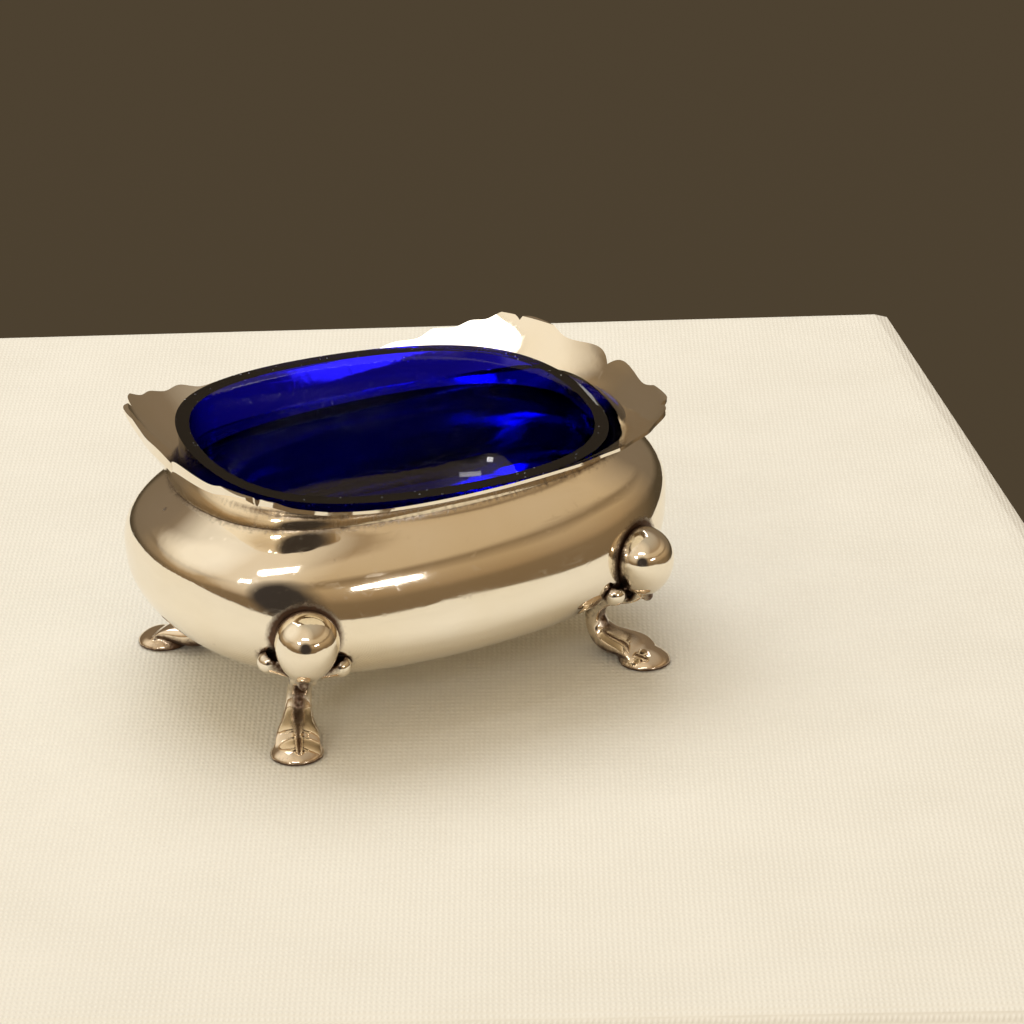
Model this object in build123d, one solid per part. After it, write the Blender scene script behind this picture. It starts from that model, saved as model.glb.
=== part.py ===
from build123d import *

import os
from math import cos, radians, sin, sqrt

# Oval silver salt cellar on four cabriole legs, with a loose glass liner. Millimetres, +Z up.
# The origin is on the table, under the middle of the bowl. X runs along the bowl and Y across it.

# Every level section is a cushion-shaped oval: an ellipse with its corners pushed out by this share.
oval_cushion = 0.04
oval_points = 16

# Bowl: flat underside, round under-curve, widest bulge, full shoulder, throat at the neck.
# The ends are widest higher up than the sides, so each has its own level and fullness.
base_half_length = 24.1
base_half_width = 16.5
base_height = 8.0
bulge_half_length = 41.0
bulge_half_width = 27.2
end_bulge_height = 23.0
side_bulge_height = 16.3
end_fullness = 3.05
side_fullness = 2.4
neck_half_length = 33.8
neck_half_width = 22.4
neck_height = 32.3
throat_roundness = 1.32
bowl_wall = 0.9
under_levels = 5
shoulder_levels = (0.2, 0.42, 0.6, 0.75, 0.87, 0.95, 1)

# Rim: a sheet that flares up from the neck towards a wide lip oval, and is cut to shape before it.
lip_half_length = 37.7
lip_half_width = 37.0
lip_height = 40.0
flare_curve = 1.35
flare_levels = (0, 0.2, 0.5, 1)
rim_edge = 0.9
seam_step = 0.2

# The shaped outline in one quarter: bearing in degrees from the end, and reach from neck to lip.
# It runs from the cusp at the end to the cusp at the corner, and on to the middle of the side.
end_scroll = [(0, 0.53), (2.5, 0.69), (7, 0.75), (14, 0.69), (18, 0.70), (22, 0.84), (26, 0.95)]
end_scroll += [(29.5, 0.94), (32.5, 0.79)]
side_scroll = [(32.5, 0.79), (34.5, 0.885), (37.5, 0.88), (42.5, 0.755), (47, 0.725), (52, 0.62)]
side_scroll += [(58, 0.605), (62, 0.50), (68, 0.475), (76, 0.36), (83, 0.33), (90, 0.32)]

# Legs: each stands off a little where its bearing meets the bulge, and points along its own turn.
# Above the pad it leans by the splay, away from the end of the bowl.
leg_bearing = 49.8
leg_turn = 64.0
leg_stand_off = 0.7
leg_splay = 6.5

# Knee: a ball drawn to a point below, with a pellet at the point and a cupped horn on each side.
knee_height = 18.0
knee_radius = 4.6
knee_tip_drop = 6.3
pellet_radius = 0.9
pellet_reach = 0.3
horn_length = 5.6
horn_end_radius = 1.7
horn_slope = 32.0
horn_outward = 8.0
horn_spread = 0.3
horn_root_share = 0.17
horn_drop = 0.9
horn_wall = 0.5

# Shaft: an S from inside the knee, in along the bowl's underside and out over the instep to the pad.
# Each girth gives the share of the way down, and width and depth as shares of the half width.
shaft_half_width = 1.8
shaft_start = 3.0
calf_setback = 5.6
calf_sink = 0.6
ankle_setback = 9.4
ankle_height = 6.1
heel_setback = 7.8
heel_height = 2.9
instep_setback = 4.2
instep_height = 2.4
shaft_girths = [(0, 1.0, 0.8), (0.25, 1.1, 0.9), (0.45, 1.0, 0.95), (0.65, 1.15, 1.0), (0.85, 1.7, 0.8)]
shaft_girths += [(1, 2.0, 0.4)]
shaft_points = 8
groove_depth = 0.5
groove_end = 0.7
ankle_pellet_height = 4.9
ankle_pellet_sink = 0.4

# Foot: a round pad with a domed top, and the small leaf that is soldered under the bowl.
toe_reach = 3.0
pad_radius = 4.0
pad_thickness = 0.5
pad_dome = 1.9
leaf_radius = 1.9
leaf_setback = 8.2

# Glass liner: it stands in the neck with play all round, and leans towards the front and one end.
liner_play = 1.05
liner_flare = 0.8
liner_above_neck = 4.5
liner_below_neck = 21.4
liner_wall = 1.95
liner_floor = 3.0
liner_foot_half_length = 21.0
liner_foot_half_width = 10.5
liner_lean_front = 9.0
liner_lean_end = 3.8
liner_shift_end = -0.6
liner_shift_back = 0.5
seat_gap = 0.3


def between(start, end, share):
    """The value at a share of the way from start to end."""
    return start + (end - start) * share


def oval_point(half_length, half_width, bearing):
    """The oval's point at a bearing in degrees; its third harmonic fills the corners."""
    turn = radians(bearing)
    along = cos(turn) + oval_cushion * (cos(turn) - cos(3 * turn))
    across = sin(turn) + oval_cushion * (sin(turn) + sin(3 * turn))
    return half_length * along, half_width * across


def closed_curve(points):
    """A face inside one closed curve, whose points share it out evenly so that sections match in lofts."""
    spacing = [step / len(points) for step in range(len(points) + 1)]
    return Face(Wire([Edge.make_spline(points, periodic=True, parameters=spacing)]))


def oval(half_length, half_width, height):
    """A level oval face."""
    points = []
    for step in range(oval_points):
        x, y = oval_point(half_length, half_width, 360 * step / oval_points)
        points.append((x, y, height))
    return closed_curve(points)


def under_curve(foot, wide):
    """Ovals on a quarter round from a foot oval out to the widest one; each is length, width, height."""
    sections = []
    for step in range(under_levels + 1):
        turn = radians(90 * step / under_levels)
        length = between(foot[0], wide[0], sin(turn))
        width = between(foot[1], wide[1], sin(turn))
        height = between(wide[2], foot[2], cos(turn))
        sections.append(oval(length, width, height))
    return sections


def swell(height, sizes, levels, fullness):
    """Half a section's size: a quarter round from foot to bulge, and a shoulder in to the neck."""
    foot, bulge, neck = sizes
    low, middle, top = levels
    if height < middle:
        fall = (middle - height) / (middle - low)
        return between(foot, bulge, sqrt(1 - fall**2))
    rise = (height - middle) / (top - middle)
    return between(neck, bulge, (1 - rise**fullness) ** throat_roundness)


def bowl_form(inset):
    """The bowl as a filled form, with its walls and floor drawn in by the inset."""
    lengths = [size - inset for size in (base_half_length, bulge_half_length, neck_half_length)]
    widths = [size - inset for size in (base_half_width, bulge_half_width, neck_half_width)]
    floor = base_height + inset
    heights = []
    for step in range(under_levels):
        heights.append(between(side_bulge_height, floor, cos(radians(90 * step / under_levels))))
    for share in (0, *shoulder_levels):
        heights.append(between(side_bulge_height, neck_height, share))
    sections = []
    for height in heights:
        length = swell(height, lengths, (floor, end_bulge_height, neck_height), end_fullness)
        width = swell(height, widths, (floor, side_bulge_height, neck_height), side_fullness)
        sections.append(oval(length, width, height))
    return loft(sections)


def flare_form(neck_growth, lip_growth):
    """The flare as a filled form between the neck oval and the lip oval, each grown outwards."""
    sections = []
    for share in flare_levels:
        spread = share**flare_curve
        growth = between(neck_growth, lip_growth, share)
        length = between(neck_half_length, lip_half_length, spread) + growth
        width = between(neck_half_width, lip_half_width, spread) + growth
        sections.append(oval(length, width, between(neck_height, lip_height, share)))
    return loft(sections)


def scroll_points(scroll):
    """Plan points of a scroll given by bearing and reach."""
    points = []
    for bearing, reach in scroll:
        length = between(neck_half_length, lip_half_length, reach)
        width = between(neck_half_width, lip_half_width, reach)
        points.append(oval_point(length, width, bearing))
    return points


def rim_outline():
    """The shaped outline: two long sides and four end lobes, which meet in six cusps."""
    right_half = scroll_points(side_scroll)
    left_half = [(-x, y) for x, y in reversed(right_half[:-1])]
    side = Spline(*right_half, *left_half)
    lobe = Spline(*scroll_points(end_scroll))
    edges = [side, side.mirror(Plane.XZ)]
    for end in (lobe, lobe.mirror(Plane.YZ)):
        edges += [end, end.mirror(Plane.XZ)]
    return make_face(edges)


def rim_solid():
    """The flared sheet, seated on the bowl's neck edge and cut to the shaped outline."""
    sheet = flare_form(seam_step, 0) - flare_form(-bowl_wall, -rim_edge)
    return sheet & extrude(rim_outline(), lip_height)


def knee_solid(height):
    """The pear-shaped knee: half a ball above, and a pointed arch turned about its axis below."""
    arch_radius = (knee_radius**2 + knee_tip_drop**2) / (2 * knee_radius)
    top = (0, height + knee_radius)
    side = (knee_radius, height)
    tip = (0, height - knee_tip_drop)
    upper = RadiusArc(top, side, knee_radius)
    lower = RadiusArc(side, tip, arch_radius)
    profile = make_face([upper, lower, Line(tip, top)])
    return revolve(Plane.XZ * profile, Axis.Z)


def horn_solid(side, root):
    """One horn beside the knee's point: a cone that widens to a round end, hollowed from above."""
    end = CenterArc((horn_length, 0), horn_end_radius, 0, 90)
    flank = Polyline(end @ 1, (0, 0), end @ 0)
    horn = revolve(make_face([end, *flank.edges()]), Axis.X)
    hollow_radius = horn_end_radius - horn_wall
    horn -= Pos(horn_length, 0, hollow_radius) * Sphere(hollow_radius)
    turned = Rot(side * horn_slope, 0, 0) * Rot(0, 0, side * (90 - horn_outward)) * horn
    return Pos(root.X, side * horn_spread, root.Z - horn_drop) * turned


def shaft_path(tip_height, calf_height):
    """The S-shaped centre line of the shaft, from inside the knee to the middle of the pad."""
    return Spline(
        (0, 0, tip_height + shaft_start),
        (-calf_setback, 0, calf_height),
        (-ankle_setback, 0, ankle_height),
        (-heel_setback, 0, heel_height),
        (-instep_setback, 0, instep_height),
        (toe_reach - pad_radius, 0, pad_thickness),
    )


def shaft_section(path, share, half_width, half_depth):
    """A rounded section across the path, dented at the front where the groove runs."""
    plane = Plane(path @ share, x_dir=(0, 1, 0), z_dir=path % share)
    points = []
    for step in range(shaft_points):
        turn = radians(360 * step / shaft_points)
        points.append((half_width * cos(turn), half_depth * sin(turn)))
    if share < groove_end:
        points[shaft_points // 4] = (0, half_depth - groove_depth)
    return closed_curve([plane.from_local_coords((x, y, 0)) for x, y in points])


def shaft_solid(path):
    """The shaft and instep: grooved oval sections along the centre line."""
    sections = []
    for share, wide, deep in shaft_girths:
        sections.append(shaft_section(path, share, shaft_half_width * wide, shaft_half_width * deep))
    return loft(sections)


def pad_solid():
    """The round pad under the toe, flat below and domed above."""
    top = pad_thickness + pad_dome
    crown = ThreePointArc((-pad_radius, pad_thickness), (0, top), (pad_radius, pad_thickness))
    right_half = crown.trim(0.5, 1)
    edge = Polyline(right_half @ 1, (pad_radius, 0), (0, 0), right_half @ 0)
    return revolve(Plane.XZ * make_face([right_half, *edge.edges()]), Axis.Z)


def wall_height(bowl, x, y):
    """Where an upright line through a plan point meets the bowl from below."""
    return (Line((x, y, 0), (x, y, neck_height)) & bowl).bounding_box().min.Z


def leg_form(hand, calf_height, leaf_height):
    """One leg about its knee's axis, pointing along X; its hand is the side that it leans to."""
    tip_height = knee_height - knee_tip_drop
    path = shaft_path(tip_height, calf_height)
    pieces = [shaft_solid(path)]
    pieces += [horn_solid(side, path @ horn_root_share) for side in (-1, 1)]
    pieces.append(Pos(pellet_reach, 0, tip_height) * Sphere(pellet_radius))
    ankle_front = shaft_half_width - ankle_setback - ankle_pellet_sink
    pieces.append(Pos(ankle_front, 0, ankle_pellet_height) * Sphere(pellet_radius))
    pieces.append(Pos(-leaf_setback, 0, leaf_height) * Sphere(leaf_radius))
    upper = knee_solid(knee_height) + pieces
    return Rot(-hand * leg_splay, 0, 0) * upper + Pos(toe_reach - pad_radius, 0, 0) * pad_solid()


def leg_solids(bowl):
    """The four legs by place, each cut back to the table and to the bowl's wall."""
    bulge_x, bulge_y = oval_point(bulge_half_length, bulge_half_width, leg_bearing)
    out_x = cos(radians(leg_turn))
    out_y = sin(radians(leg_turn))
    x = bulge_x + leg_stand_off * out_x
    y = bulge_y + leg_stand_off * out_y
    calf_height = wall_height(bowl, x - calf_setback * out_x, y - calf_setback * out_y) - calf_sink
    leaf_height = wall_height(bowl, x - leaf_setback * out_x, y - leaf_setback * out_y)
    above_table = Pos(0, 0, lip_height / 2) * Box(2 * lip_half_length, 2 * lip_half_length, lip_height)
    forms = {hand: leg_form(hand, calf_height, leaf_height) for hand in (-1, 1)}
    legs = {}
    for depth_name, depth in (("front", -1), ("back", 1)):
        for side_name, side in (("left", -1), ("right", 1)):
            turn = depth * (leg_turn if side > 0 else 180 - leg_turn)
            placed = Pos(side * x, depth * y, 0) * Rot(0, 0, turn) * forms[side * depth]
            legs[f"leg_{depth_name}_{side_name}"] = (placed & above_table) - bowl
    return legs


def liner_form(inset, floor):
    """The liner as a filled form about the neck's middle, drawn in by an inset, with a raised floor."""
    length = neck_half_length - bowl_wall - liner_play - inset
    width = neck_half_width - bowl_wall - liner_play - inset
    foot = (liner_foot_half_length - inset, liner_foot_half_width - inset, floor - liner_below_neck)
    sections = under_curve(foot, (length, width, 0))
    sections.append(oval(length + liner_flare, width + liner_flare, liner_above_neck))
    return loft(sections)


def liner_solid():
    """The liner leaning in the neck, with its lowest point just above the bowl's floor."""
    cup = liner_form(0, 0) - liner_form(liner_wall, liner_floor)
    leaning = Rot(liner_lean_front, liner_lean_end, 0) * cup
    lift = base_height + bowl_wall + seat_gap - leaning.bounding_box().min.Z
    return Pos(liner_shift_end, liner_shift_back, lift) * leaning


def write_parts():
    """Builds every piece and writes it under its own name."""
    os.makedirs("parts", exist_ok=True)
    filled_bowl = bowl_form(0)
    pieces = leg_solids(filled_bowl)
    pieces["bowl"] = filled_bowl - bowl_form(bowl_wall)
    pieces["rim"] = rim_solid()
    pieces["glass_liner"] = liner_solid()
    for name, piece in pieces.items():
        export_step(piece, f"parts/{name}.step")


write_parts()
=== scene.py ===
import bpy
from mathutils import Matrix, Vector


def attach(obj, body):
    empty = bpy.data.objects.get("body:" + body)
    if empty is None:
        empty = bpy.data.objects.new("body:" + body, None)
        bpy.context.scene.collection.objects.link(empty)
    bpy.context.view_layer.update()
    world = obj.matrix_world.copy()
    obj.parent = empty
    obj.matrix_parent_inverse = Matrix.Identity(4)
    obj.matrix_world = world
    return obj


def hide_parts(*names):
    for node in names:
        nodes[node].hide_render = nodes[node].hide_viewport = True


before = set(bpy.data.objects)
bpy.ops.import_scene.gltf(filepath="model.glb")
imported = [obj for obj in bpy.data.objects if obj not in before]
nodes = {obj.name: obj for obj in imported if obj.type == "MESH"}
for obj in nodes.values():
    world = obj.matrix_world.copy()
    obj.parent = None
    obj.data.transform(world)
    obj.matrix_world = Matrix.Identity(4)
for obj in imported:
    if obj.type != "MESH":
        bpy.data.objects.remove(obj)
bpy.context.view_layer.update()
scene = bpy.context.scene
scene.view_settings.view_transform = "Standard"

# Places and sizes are in metres, in the frame of the CAD model. Colours are linear.
LEGS = ["leg_front_left", "leg_front_right", "leg_back_left", "leg_back_right"]

# The camera stands where the photograph was taken. Its lens and sensor are in millimetres.
CAMERA_PLACE = (-0.2500125, -0.47557, 0.2574905)
CAMERA_RIGHT = (0.86671979, -0.49853912, -0.01598629)
CAMERA_UP = (0.21275463, 0.34050998, 0.91585393)
CAMERA_BACK = (-0.45114552, -0.79718988, 0.40119324)
CAMERA_LENS = 140.625
CAMERA_SENSOR = 36
CAMERA_RANGE = (0.01, 20)

# Level directions seen from the camera: away from it, and to its right.
AWAY = Vector((0.4925, 0.8703, 0))
ACROSS = Vector((0.8703, -0.4925, 0))

# Silver: clean, a little clouded, and warmer towards the feet. Tarnish, and the painted shade in crevices,
# go from brown to black.
SILVER_CLEAN = (0.93, 0.87, 0.765, 1)
SILVER_CLOUDED = (0.90, 0.82, 0.675, 1)
SILVER_LOW = (0.74, 0.55, 0.37, 1)
TARNISH_AND_SHADE_BROWN = (0.13, 0.052, 0.022, 1)
TARNISH_AND_SHADE_BLACK = (0.028, 0.014, 0.009, 1)
LOW_PART = 0.02

# The knee's middle in one quarter of the salt, and how far out the solder line is looked for.
KNEE = (0.0277, 0.0236, 0.0180)
KNEE_SURROUND = 0.01

# Across each shaft in one quarter, and how far along that direction the groove in its middle lies.
GROOVE_ACROSS = (-0.899, 0.438, -0.114)
GROOVE_PLACE = -0.01631
GROOVE_SURROUND = 0.002

# Legs as castings: the remesh's grain and the rounds of smoothing, which are full in the foot.
# Past the foot's height they fade to a small share.
CAST_GRAIN = 0.00022
CAST_ROUNDS = 48
FOOT_HEIGHT = 0.0045
FOOT_FADE = 0.002
BLEND_ABOVE = 0.09

# Glass: the absorption's colour and density, the index, and the leaning liner's own upward direction.
GLASS_TINT = (0.10, 0.02, 0.895, 1)
GLASS_DENSITY = 2500
GLASS_IOR = 1.5
LINER_UP = (0.066, -0.156, 0.985)
LINER_HEIGHT_RANGE = 0.05

# Cloth: its colours in the hollows and on the threads, and each thread's turn and count.
CLOTH_HOLLOW = (0.79, 0.77, 0.685, 1)
CLOTH_THREAD = (0.95, 0.94, 0.865, 1)
CLOTH_THREADS = ((0.52, 430), (2.09, 270))

# The table top's corners across and away from the camera, and its turned-down edge as out and drop.
FLOOR_CORNERS = [(-0.26, -0.104), (0.116, -0.104), (0.0806, 0.1355), (-0.26, 0.126)]
FLOOR_MIDDLE = Vector((-0.08, 0.01))
FLOOR_EDGE = [(0, 0), (0.002, 0.0003), (0.0045, 0.0018), (0.006, 0.0045), (0.0064, 0.009), (0.0064, 0.25)]

# The room from straight down, 0, to straight up, 1: on the camera's side, and behind the salt.
ROOM_IN_FRONT = [
    (0.0, (0.10, 0.07, 0.04)),
    (0.49, (0.22, 0.145, 0.075)),
    (0.53, (0.36, 0.24, 0.125)),
    (0.60, (0.47, 0.33, 0.18)),
    (0.645, (0.24, 0.16, 0.085)),
    (0.67, (0.56, 0.41, 0.24)),
    (0.75, (0.60, 0.45, 0.28)),
    (0.79, (0.36, 0.25, 0.14)),
    (1.0, (0.50, 0.43, 0.33)),
]
ROOM_BEHIND = [
    (0.0, (0.055, 0.040, 0.023)),
    (0.46, (0.080, 0.058, 0.033)),
    (0.53, (0.20, 0.148, 0.094)),
    (0.80, (0.23, 0.17, 0.112)),
    (0.90, (0.45, 0.38, 0.29)),
    (1.0, (0.50, 0.43, 0.33)),
]
FRONT_BEGINS = -0.6

# Round patches of the room: direction, the cosines of its edge and of its full part, and colour.
PALE_WALL = ((-0.605, -0.431, 0.669), 0.70, 0.93, (0.80, 0.66, 0.48, 1))
SIDE_WINDOW = ((-0.676, 0.308, 0.669), 0.80, 0.97, (1.0, 0.89, 0.72, 1))
DARK_DOOR = ((-0.537, -0.843, 0.035), 0.91, 0.965, (0.045, 0.036, 0.03, 1))

# Two bright patches that are seen through the glass only, where they make its blue glow.
GLOW_COLOUR = (12, 12, 12, 1)
GLOWS = [
    ((-0.317, -0.559, 0.766), 0.965, 0.992, GLOW_COLOUR),
    ((-0.732, -0.522, 0.438), 0.965, 0.992, GLOW_COLOUR),
]

# Soft lamps: place, width and height, watts and colour.
COOL = (0.97, 0.98, 1.0)
WARM = (1.0, 0.98, 0.95)
LAMPS = {
    "back_softbox": ((0.05, 0.43, 0.95), (0.90, 0.62), 4.4, COOL),
    "ceiling_fill": ((0.0, 0.25, 1.3), (0.9, 0.9), 3.1, COOL),
    "high_window": ((-0.67, -1.01, 0.88), (0.60, 0.14), 1.5, WARM),
    "left_window": ((-1.25, -0.85, 0.60), (0.22, 0.14), 1.4, WARM),
    "right_window": ((0.22, -1.62, 0.32), (0.42, 0.07), 1.6, WARM),
}
LAMP_TARGET = Vector((0, 0, 0.02))
NOT_MIRRORED = ["ceiling_fill"]


def put(tree, socket, value):
    """Links another node's output to a socket, or sets the socket's own value."""
    if isinstance(value, bpy.types.NodeSocket):
        tree.links.new(value, socket)
    else:
        socket.default_value = value


def add(tree, kind, values=None, **settings):
    """Adds a node, with its settings and its inputs."""
    item = tree.nodes.new(kind)
    for name, value in settings.items():
        setattr(item, name, value)
    for key, value in (values or {}).items():
        put(tree, item.inputs[key], value)
    return item


def math(tree, operation, first, second=0.0):
    """One sum on numbers, kept between 0 and 1."""
    item = add(tree, "ShaderNodeMath", {0: first, 1: second}, operation=operation)
    item.use_clamp = True
    return item.outputs[0]


def measure(tree, operation, first, second):
    """A number from two vectors: their dot product or the distance between them."""
    item = add(tree, "ShaderNodeVectorMath", {0: first, 1: second}, operation=operation)
    return item.outputs["Value"]


def share_of(tree, length, whole):
    """A length as a share of a whole, from 0 to 1."""
    return math(tree, "MULTIPLY", length, 1 / whole)


def part_way(tree, value, start, end):
    """How far a value lies from start to end, from 0 to 1."""
    item = add(tree, "ShaderNodeMapRange", {"Value": value, "From Min": start, "From Max": end})
    return item.outputs[0]


def ramp(tree, factor, stops):
    """A colour ramp through stops of place and grey or colour."""
    item = add(tree, "ShaderNodeValToRGB", {"Fac": factor})
    while len(item.color_ramp.elements) < len(stops):
        item.color_ramp.elements.new(1)
    for element, (place, shade) in zip(item.color_ramp.elements, stops):
        element.position = place
        element.color = (*shade, 1) if isinstance(shade, tuple) else (shade, shade, shade, 1)
    return item.outputs["Color"]


def blend(tree, factor, first, second):
    """A colour part of the way from the first to the second."""
    item = add(tree, "ShaderNodeMix", data_type="RGBA")
    for key, value in ((0, factor), (6, first), (7, second)):
        put(tree, item.inputs[key], value)
    return item.outputs[2]


def noise(tree, place, scale, detail=3.0, stretch=(1, 1, 1), turn=(0, 0, 0)):
    """Noise over the part's own coordinates, stretched and turned."""
    spread = add(tree, "ShaderNodeMapping", {"Vector": place, "Rotation": turn, "Scale": stretch})
    values = {"Vector": spread.outputs[0], "Scale": scale, "Detail": detail}
    return add(tree, "ShaderNodeTexNoise", values).outputs["Fac"]


def spots(tree, place, scale, core, edge, rarity):
    """Round spots in a few cells of the surface: full inside the core, and none past the edge."""
    cells = add(tree, "ShaderNodeTexVoronoi", {"Vector": place, "Scale": scale})
    inside = ramp(tree, cells.outputs["Distance"], [(core, 1), (edge, 0)])
    chosen = ramp(tree, cells.outputs["Color"], [(rarity, 0), (rarity + 0.02, 1)])
    return math(tree, "MULTIPLY", inside, chosen)


def bump(tree, strength, depth, height, below=None):
    """A bumped normal, on top of another where one is given."""
    values = {"Strength": strength, "Distance": depth, "Height": height}
    if below:
        values["Normal"] = below
    return add(tree, "ShaderNodeBump", values).outputs[0]


def new_material(name):
    """An empty material, with its node tree and its shader."""
    material = bpy.data.materials.new(name)
    material.use_nodes = True
    return material, material.node_tree, material.node_tree.nodes["Principled BSDF"]


def hairlines(tree, place):
    """Fine scratches from years of polishing, which run two ways."""
    along = noise(tree, place, 90, 2, (0.35, 9, 9), (0.3, 0.1, 0.5))
    round_about = noise(tree, place, 90, 2, (9, 0.35, 9), (0.2, 0.5, -0.4))
    first = ramp(tree, along, [(0.62, 0), (0.68, 1)])
    second = ramp(tree, round_about, [(0.63, 0), (0.69, 1)])
    return math(tree, "ADD", first, second)


def crevice_tarnish_and_painted_shade(tree, patch, reach):
    """Painted shade: darker wherever ambient occlusion finds a crevice, where tarnish also sits because the
    polishing cloth can't get in, with a ragged edge.
    """
    open_air = add(tree, "ShaderNodeAmbientOcclusion", {"Distance": reach}, samples=8).outputs["AO"]
    closed = math(tree, "SUBTRACT", 1.0, open_air)
    ragged = math(tree, "ADD", closed, math(tree, "MULTIPLY", patch, 0.5))
    return ramp(tree, math(tree, "SUBTRACT", ragged, 0.28), [(0.12, 0), (0.40, 1)])


def shaft_groove(tree, quarter, low, patch):
    """The groove down the front of each shaft, which is never cleaned out."""
    across = measure(tree, "DOT_PRODUCT", quarter, GROOVE_ACROSS)
    middle = part_way(tree, across, GROOVE_PLACE - GROOVE_SURROUND, GROOVE_PLACE + GROOVE_SURROUND)
    line = ramp(tree, middle, [(0.17, 0), (0.37, 1), (0.63, 1), (0.83, 0)])
    run = ramp(tree, low, [(0.13, 0), (0.22, 1), (0.60, 1), (0.66, 0)])
    return math(tree, "MULTIPLY", math(tree, "MULTIPLY", line, run), math(tree, "ADD", patch, 0.45))


def knee_solder(tree, where, quarter, patch):
    """The dark solder line around each knee, on the outside of the bowl only."""
    level = add(tree, "ShaderNodeVectorMath", {0: where["Object"], 1: (1, 1, 0)}, operation="MULTIPLY")
    outward = measure(tree, "DOT_PRODUCT", where["Normal"], level.outputs[0])
    outside = math(tree, "GREATER_THAN", outward, 0.0)
    gap = share_of(tree, measure(tree, "DISTANCE", quarter, KNEE), KNEE_SURROUND)
    ragged = math(tree, "ADD", gap, math(tree, "MULTIPLY", patch, 0.08))
    return math(tree, "MULTIPLY", ramp(tree, ragged, [(0.54, 1), (0.63, 0)]), outside)


def silver_material(name, tarnish_and_shade_strength, reach, on_legs):
    """Hand-polished silver: hairlines, pits, a slight hammered wave, and tarnish with painted shade in the
    crevices.
    """
    material, tree, shader = new_material(name)
    where = add(tree, "ShaderNodeTexCoord").outputs
    place = where["Object"]
    quarter = add(tree, "ShaderNodeVectorMath", {0: place}, operation="ABSOLUTE").outputs[0]
    height = add(tree, "ShaderNodeSeparateXYZ", {0: quarter}).outputs["Z"]
    low = share_of(tree, height, LOW_PART)
    hair = hairlines(tree, place)
    pit = spots(tree, place, 420, 0.10, 0.20, 0.90)
    patch = noise(tree, place, 1600, 4)

    # The dark places: tarnish and painted shade in crevices, the legs' grooves or the knees' solder, and
    # pits.
    own = shaft_groove(tree, quarter, low, patch) if on_legs else knee_solder(tree, where, quarter, patch)
    dark = math(tree, "MAXIMUM", crevice_tarnish_and_painted_shade(tree, patch, reach), own)
    # This strength scales the real tarnish and the painted shade in crevices together.
    dark = math(tree, "MAXIMUM", math(tree, "MULTIPLY", dark, tarnish_and_shade_strength), math(tree, "MULTIPLY", pit, 0.7))

    # The silver is warmer in patches, and towards the feet.
    cloud = ramp(tree, noise(tree, place, 70, 3), [(0.35, 0), (0.75, 1)])
    near_feet = ramp(tree, low, [(0.03, 0.5), (0.42, 0)])
    clean = blend(tree, near_feet, blend(tree, cloud, SILVER_CLEAN, SILVER_CLOUDED), SILVER_LOW)
    # The stain colour is both the tarnish and the painted shade in crevices.
    stain_and_shade = blend(tree, patch, TARNISH_AND_SHADE_BROWN, TARNISH_AND_SHADE_BLACK)
    put(tree, shader.inputs["Base Color"], blend(tree, dark, clean, stain_and_shade))
    shader.inputs["Metallic"].default_value = 1

    dull = ramp(tree, noise(tree, place, 240, 4), [(0.3, 0.045), (0.8, 0.10)])
    rough = math(tree, "ADD", dull, math(tree, "MULTIPLY", hair, 0.07))
    put(tree, shader.inputs["Roughness"], math(tree, "ADD", rough, math(tree, "MULTIPLY", dark, 0.38)))

    wave = bump(tree, 0.19, 0.0006, noise(tree, place, 85, 1, (0.5, 1, 1.5)))
    cuts = math(tree, "ADD", math(tree, "MULTIPLY", hair, 0.1), math(tree, "MULTIPLY", pit, 0.5))
    marks = bump(tree, 0.12, 0.00008, math(tree, "SUBTRACT", 0.6, cuts), wave)
    put(tree, shader.inputs["Normal"], marks)
    return material


def glass_material():
    """Deep cobalt glass, whose colour comes from its thickness, with a ground and slightly chipped edge."""
    material, tree, shader = new_material("cobalt_glass")
    place = add(tree, "ShaderNodeTexCoord").outputs["Object"]
    shader.inputs["Base Color"].default_value = (1, 1, 1, 1)
    shader.inputs["Transmission Weight"].default_value = 1
    shader.inputs["IOR"].default_value = GLASS_IOR
    shader.inputs["Specular IOR Level"].default_value = 0.05

    height = share_of(tree, measure(tree, "DOT_PRODUCT", place, LINER_UP), LINER_HEIGHT_RANGE)
    ground = ramp(tree, height, [(0.70, 0), (0.72, 1)])
    chipped = math(tree, "MULTIPLY", spots(tree, place, 1100, 0.12, 0.24, 0.66), ground)
    rough = math(tree, "ADD", math(tree, "MULTIPLY", chipped, 0.35), 0.012)
    put(tree, shader.inputs["Roughness"], rough)

    ripple = bump(tree, 0.2, 0.0005, noise(tree, place, 60, 2, (0.6, 1, 3.0)))
    put(tree, shader.inputs["Normal"], bump(tree, 0.4, 0.00006, chipped, ripple))
    depth = add(tree, "ShaderNodeVolumeAbsorption", {"Color": GLASS_TINT, "Density": GLASS_DENSITY})
    put(tree, tree.nodes["Material Output"].inputs["Volume"], depth.outputs[0])
    return material


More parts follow.
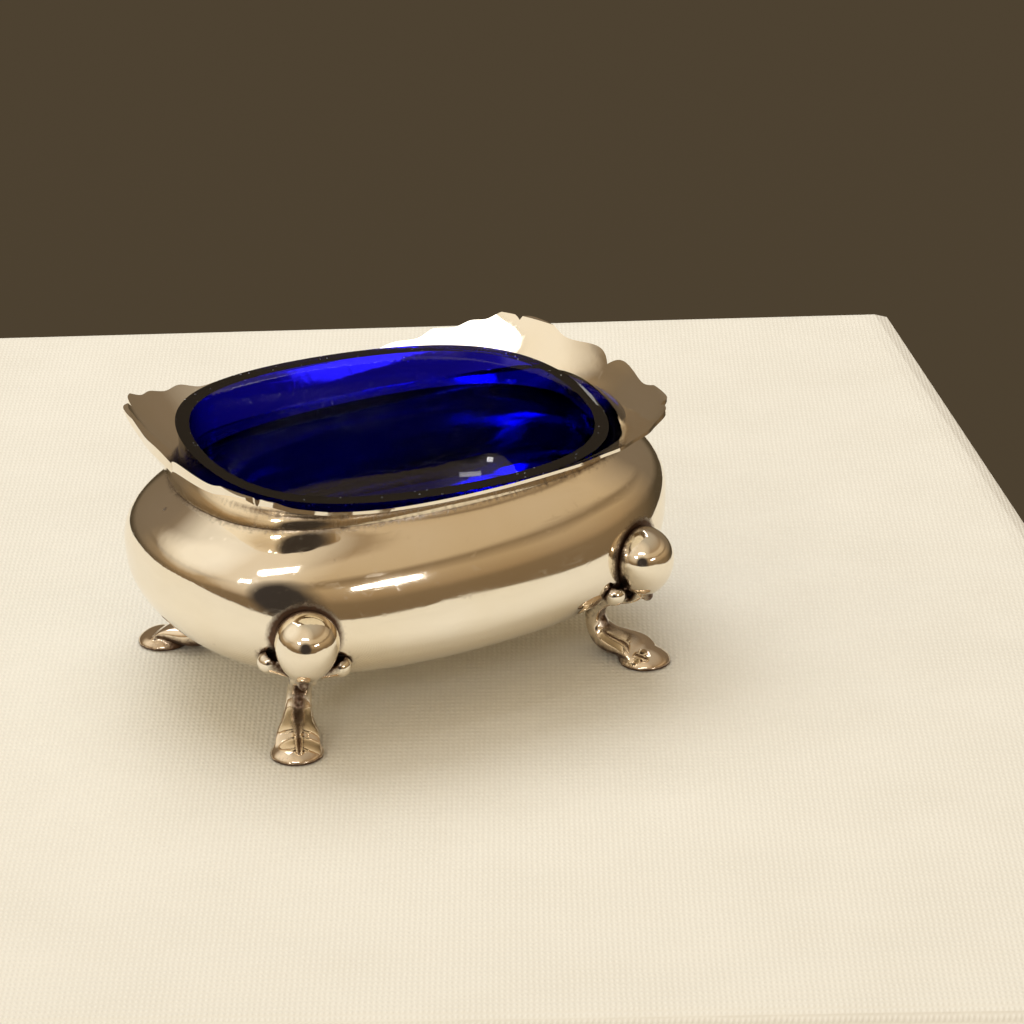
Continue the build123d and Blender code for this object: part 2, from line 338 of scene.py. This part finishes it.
def floor_material():
    """Plain cream linen with a faint weave."""
    material, tree, shader = new_material("floor")
    place = add(tree, "ShaderNodeTexCoord").outputs["Object"]
    threads = []
    for turn, count in CLOTH_THREADS:
        spread = add(tree, "ShaderNodeMapping", {"Vector": place, "Rotation": (0, 0, turn)})
        values = {"Vector": spread.outputs[0], "Scale": count}
        values.update({"Distortion": 1.6, "Detail": 2, "Detail Scale": 0.8})
        threads.append(add(tree, "ShaderNodeTexWave", values).outputs["Fac"])
    weave = math(tree, "MULTIPLY", threads[0], threads[1])
    slub = noise(tree, place, 60, 4)
    raised = math(tree, "MULTIPLY", math(tree, "ADD", weave, slub), 0.6)
    put(tree, shader.inputs["Base Color"], blend(tree, raised, CLOTH_HOLLOW, CLOTH_THREAD))
    shader.inputs["Roughness"].default_value = 0.95
    shader.inputs["Specular IOR Level"].default_value = 0.1
    put(tree, shader.inputs["Normal"], bump(tree, 0.4, 0.0003, weave))
    return material


def dress(names, material):
    """Gives CAD nodes one material."""
    for name in names:
        slots = nodes[name].data.materials
        slots.clear()
        slots.append(material)


def applied(piece):
    """The piece's mesh with its modifiers applied."""
    shaped = piece.evaluated_get(bpy.context.evaluated_depsgraph_get())
    mesh = bpy.data.meshes.new_from_object(shaped)
    piece.modifiers.clear()
    return mesh


def add_cast_leg(name, material):
    """A leg as one polished casting: its CAD solid with the seams between knee, shaft and pad blended."""
    piece = bpy.data.objects.new(name + "_cast", nodes[name].data.copy())
    scene.collection.objects.link(piece)
    grain = piece.modifiers.new("grain", "REMESH")
    grain.mode = "VOXEL"
    grain.voxel_size = CAST_GRAIN
    piece.data = applied(piece)
    foot = piece.vertex_groups.new(name="foot")
    for vertex in piece.data.vertices:
        rise = min(max((vertex.co.z - FOOT_HEIGHT) / FOOT_FADE, 0), 1)
        foot.add([vertex.index], 1 + (BLEND_ABOVE - 1) * rise, "REPLACE")
    soften = piece.modifiers.new("soften", "SMOOTH")
    soften.iterations = CAST_ROUNDS
    soften.vertex_group = "foot"
    piece.data = applied(piece)
    for face in piece.data.polygons:
        face.use_smooth = True
    piece.data.materials.clear()
    piece.data.materials.append(material)
    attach(piece, "silver")
    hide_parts(name)


def add_camera():
    """The photograph's camera, without shift or depth of field."""
    data = bpy.data.cameras.new("camera")
    data.lens = CAMERA_LENS
    data.sensor_width = CAMERA_SENSOR
    data.clip_start, data.clip_end = CAMERA_RANGE
    camera = bpy.data.objects.new("camera", data)
    turn = Matrix((CAMERA_RIGHT, CAMERA_UP, CAMERA_BACK)).transposed()
    camera.matrix_world = Matrix.Translation(CAMERA_PLACE) @ turn.to_4x4()
    scene.collection.objects.link(camera)
    scene.camera = camera


def floor_ring(out, drop):
    """The table top's four corners, moved out and down."""
    ring = []
    for side, along in FLOOR_CORNERS:
        sideways = side + (out if side > FLOOR_MIDDLE.x else -out)
        onward = along + (out if along > FLOOR_MIDDLE.y else -out)
        ring.append(ACROSS * sideways + AWAY * onward - Vector((0, 0, drop)))
    return ring


def add_floor():
    """A pale table top whose edges lie as in the photograph, with a turned-down border."""
    points = [point for out, drop in FLOOR_EDGE for point in floor_ring(out, drop)]
    faces = [(0, 1, 2, 3)]
    for level in range(len(FLOOR_EDGE) - 1):
        upper = 4 * level
        lower = upper + 4
        for step in range(4):
            after = (step + 1) % 4
            faces.append((upper + step, lower + step, lower + after, upper + after))
    mesh = bpy.data.meshes.new("floor")
    mesh.from_pydata(points, [], faces)
    mesh.materials.append(floor_material())
    floor = bpy.data.objects.new("floor", mesh)
    scene.collection.objects.link(floor)


def add_lamp(name, place, size, power, colour):
    """A soft rectangular lamp that faces the salt."""
    data = bpy.data.lights.new(name, "AREA")
    data.shape = "RECTANGLE"
    data.size, data.size_y = size
    data.energy = power
    data.color = colour
    lamp = bpy.data.objects.new(name, data)
    turn = (LAMP_TARGET - Vector(place)).to_track_quat("-Z", "Y")
    lamp.matrix_world = Matrix.Translation(place) @ turn.to_matrix().to_4x4()
    lamp.visible_glossy = name not in NOT_MIRRORED
    scene.collection.objects.link(lamp)


def inside_patch(tree, way, middle, edge, full):
    """How far a direction lies inside a round patch of the room."""
    return ramp(tree, measure(tree, "DOT_PRODUCT", way, middle), [(edge, 0), (full, 1)])


def add_world():
    """A plain brown room, darker behind the salt, with a pale wall, a window and a dark door."""
    world = bpy.data.worlds.new("world")
    scene.world = world
    world.use_nodes = True
    tree = world.node_tree
    way = add(tree, "ShaderNodeTexCoord").outputs["Generated"]
    rise = part_way(tree, add(tree, "ShaderNodeSeparateXYZ", {0: way}).outputs["Z"], -1, 1)
    in_front = part_way(tree, measure(tree, "DOT_PRODUCT", way, -AWAY), FRONT_BEGINS, 0)
    room = blend(tree, in_front, ramp(tree, rise, ROOM_BEHIND), ramp(tree, rise, ROOM_IN_FRONT))
    for middle, edge, full, colour in (PALE_WALL, SIDE_WINDOW, DARK_DOOR):
        room = blend(tree, inside_patch(tree, way, middle, edge, full), room, colour)
    through_glass = add(tree, "ShaderNodeLightPath").outputs["Is Transmission Ray"]
    for middle, edge, full, colour in GLOWS:
        seen = math(tree, "MULTIPLY", inside_patch(tree, way, middle, edge, full), through_glass)
        room = blend(tree, seen, room, colour)
    put(tree, tree.nodes["Background"].inputs["Color"], room)
    tree.nodes["Background"].inputs["Strength"].default_value = 1


add_camera()
# Each silver's strength sets how dark its tarnish and its painted crevice shade are; the reach is how far
# the occlusion looks.
dress(["bowl"], silver_material("silver_bowl", tarnish_and_shade_strength=0.95, reach=0.0015, on_legs=False))
dress(["rim"], silver_material("silver_rim", tarnish_and_shade_strength=0.4, reach=0.0015, on_legs=False))
leg_silver = silver_material("silver_legs", tarnish_and_shade_strength=0.95, reach=0.005, on_legs=True)
dress(LEGS, leg_silver)
for leg in LEGS:
    add_cast_leg(leg, leg_silver)
dress(["glass_liner"], glass_material())
add_floor()
for lamp_name, lamp_values in LAMPS.items():
    add_lamp(lamp_name, *lamp_values)
add_world()
